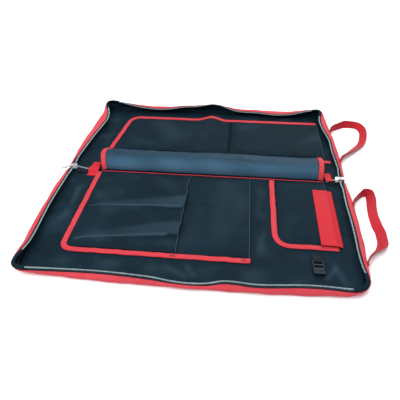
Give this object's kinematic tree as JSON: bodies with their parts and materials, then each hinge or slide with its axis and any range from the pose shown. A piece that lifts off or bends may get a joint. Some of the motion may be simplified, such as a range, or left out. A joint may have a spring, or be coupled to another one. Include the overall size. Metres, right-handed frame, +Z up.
{
  "type": "farrier tool bag",
  "caption": "Zip-round fabric tool bag lying open flat, with bound pockets, pleated tool sleeves, an arched sleeve over the fold, a ladder buckle and webbing carrying handles.",
  "frame": {"origin": "on the underside of the base panel, at the middle of the fold", "axes": "+X along the fold towards the carrying handles, +Y towards the back half, +Z up out of the open bag"},
  "size_m": [0.7302, 0.6393, 0.0364],
  "materials": {
    "black_nylon": "matt coated nylon cloth",
    "sleeve_nylon": "satin coated nylon cloth",
    "red_fabric": "matt woven polyester",
    "red_binding": "ribbed grosgrain binding tape",
    "red_webbing": "woven polypropylene webbing",
    "zip_tape": "woven zip tape",
    "zip_coil": "spiral coil, silver grey",
    "zip_metal": "plated die cast metal",
    "black_plastic": "moulded acetal"
  },
  "bodies": {
    "bag": {"base_panel": "black_nylon", "front_gusset": "red_fabric", "back_gusset": "red_fabric", "front_zip_tape": "zip_tape", "back_zip_tape": "zip_tape", "front_zip_coil": "zip_coil", "back_zip_coil": "zip_coil", "left_slider": "zip_metal", "right_slider": "zip_metal", "left_tail_tape": "zip_tape", "right_tail_tape": "zip_tape", "left_tail_coil": "zip_coil", "right_tail_coil": "zip_coil", "left_zip_tab": "red_fabric", "right_zip_tab": "red_fabric", "fold_binding": "red_binding", "back_edge_tab": "red_binding", "centre_sleeve": "sleeve_nylon", "centre_left_binding": "red_binding", "centre_right_binding": "red_binding", "front_left_pocket": "black_nylon", "front_left_binding": "red_binding", "tool_sleeves": "black_nylon", "front_right_pocket": "black_nylon", "front_right_binding": "red_binding", "pocket_flap": "red_fabric", "back_left_pocket": "black_nylon", "back_right_pocket": "black_nylon", "back_binding": "red_binding", "buckle_webbing": "zip_tape", "ladder_buckle": "black_plastic", "front_handle": "red_webbing", "back_handle": "red_webbing"},
    "left_pull_body": {"left_pull": "zip_metal"},
    "right_pull_body": {"right_pull": "zip_metal"}
  },
  "joints": [
    {"name": "left_pull_hinge", "type": "hinge", "parent": "bag", "child": "left_pull_body", "pos_m": [-0.30088, 0, 0.0166], "axis": [-0.2034, 0.9781, -0.0432], "range_deg": [0, 165]},
    {"name": "right_pull_hinge", "type": "hinge", "parent": "bag", "child": "right_pull_body", "pos_m": [0.2999, 0, 0.0167], "axis": [-0.0523, -0.9986, 0], "range_deg": [0, 165]}
  ]
}
